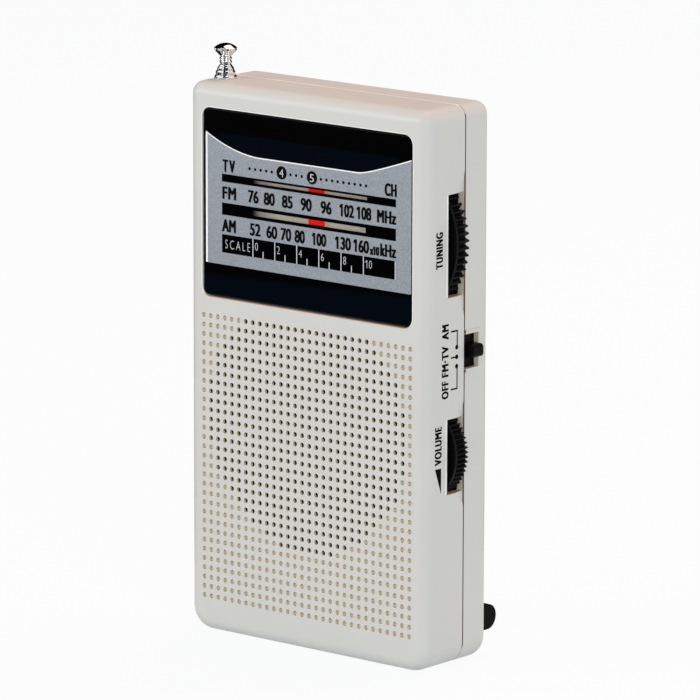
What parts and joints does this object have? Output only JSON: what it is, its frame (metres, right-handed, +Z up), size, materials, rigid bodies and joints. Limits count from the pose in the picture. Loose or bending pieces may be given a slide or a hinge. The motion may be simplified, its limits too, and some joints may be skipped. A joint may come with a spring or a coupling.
{
  "type": "pocket radio",
  "caption": "Upright pocket radio with a perforated grille, a sliding dial pointer, side thumb wheels, a band switch and a telescopic aerial.",
  "frame": {"origin": "middle of the flat bottom face of the case", "axes": "+Z up along the height, front face towards -Y, wheels on the +X side"},
  "size_m": [0.066, 0.0252, 0.124],
  "materials": {
    "case": "satin moulded",
    "lens": "gloss, printed from behind",
    "backing": "matt",
    "pointer": "matt",
    "gear": "natural",
    "black": "satin moulded",
    "lug": "matt",
    "white": "natural",
    "steel": "plated",
    "chrome": "polished",
    "brass": "turned",
    "copper": "enamelled wire",
    "ferrite": "sintered",
    "cloth": "woven",
    "cone": "pressed paper",
    "board": "laminate",
    "sleeve": "shrink sleeve",
    "ceramic": "dipped",
    "cell": "plain jacket",
    "wire": "insulation"
  },
  "bodies": {
    "case": {"front_case": "case", "rear_case": "case", "dial_lens": "lens", "dial_backing": "backing", "idler_washer": "steel", "tuning_capacitor": "white", "volume_control": "black", "band_switch": "steel", "aerial_base": "chrome", "aerial_screw": "steel", "grille_cloth": "cloth", "speaker_frame": "steel", "speaker_cone": "cone", "speaker_magnet": "ferrite", "speaker_clamps": "steel", "clamp_screws": "steel", "main_board": "board", "board_screws": "steel", "ferrite_rod": "ferrite", "rod_coil": "copper", "rod_cradles": "white", "receiver_chip": "black", "intermediate_cans": "steel", "capacitors": "sleeve", "oscillator_coils": "copper", "ceramic_filters": "ceramic", "earphone_jack": "black", "upper_cell": "cell", "lower_cell": "cell", "cell_springs": "steel", "cell_contacts": "steel", "case_screws": "steel", "strap_lug": "lug", "speaker_wires": "wire", "battery_wires": "wire", "aerial_wire": "wire"},
    "tuning": {"tuning_wheel": "black", "tuning_shaft": "brass", "tuning_wheel_screw": "steel"},
    "idler": {"idler_gear": "gear"},
    "pointer": {"dial_pointer": "pointer"},
    "volume": {"volume_wheel": "black", "volume_shaft": "brass", "volume_wheel_screw": "steel"},
    "band_knob": {"switch_knob": "black"},
    "door": {"battery_door": "case"},
    "aerial_outer": {"aerial_tube_3": "chrome"},
    "aerial_middle": {"aerial_tube_2": "chrome"},
    "aerial_inner": {"aerial_tube_1": "chrome"},
    "aerial_end": {"aerial_tip": "chrome"}
  },
  "joints": [
    {"name": "tuning_turn", "type": "hinge", "parent": "case", "child": "tuning", "pos_m": [0.0161, 0.002, 0.0883], "axis": [0, 1, 0], "range_deg": [-90, 90]},
    {"name": "idler_turn", "type": "hinge", "parent": "case", "child": "idler", "pos_m": [0.0021, 0.002, 0.0883], "axis": [0, 1, 0], "range_deg": [-135, 135]},
    {"name": "pointer_slide", "type": "slide", "parent": "case", "child": "pointer", "axis": [1, 0, 0], "range_m": [-0.0132, 0.0132]},
    {"name": "volume_turn", "type": "hinge", "parent": "case", "child": "volume", "pos_m": [0.0232, 0.002, 0.0446], "axis": [0, 1, 0], "range_deg": [-140, 140]},
    {"name": "band_slide", "type": "slide", "parent": "case", "child": "band_knob", "axis": [0, 0, 1], "range_m": [-0.002, 0.002]},
    {"name": "door_swing", "type": "hinge", "parent": "case", "child": "door", "pos_m": [0, 0.0093, 0.0042], "axis": [-1, 0, 0], "range_deg": [0, 80]},
    {"name": "aerial_outer_slide", "type": "slide", "parent": "case", "child": "aerial_outer", "axis": [0, 0, 1], "range_m": [0, 0.072]},
    {"name": "aerial_middle_slide", "type": "slide", "parent": "aerial_outer", "child": "aerial_middle", "axis": [0, 0, 1], "range_m": [0, 0.072]},
    {"name": "aerial_inner_slide", "type": "slide", "parent": "aerial_middle", "child": "aerial_inner", "axis": [0, 0, 1], "range_m": [0, 0.072]},
    {"name": "aerial_end_slide", "type": "slide", "parent": "aerial_inner", "child": "aerial_end", "axis": [0, 0, 1], "range_m": [0, 0.072]}
  ],
  "couplings": [
    {"joint": "idler_turn", "follows": "tuning_turn", "ratio": -1.4348},
    {"joint": "pointer_slide", "follows": "tuning_turn", "m_per_rad": -0.00825}
  ]
}
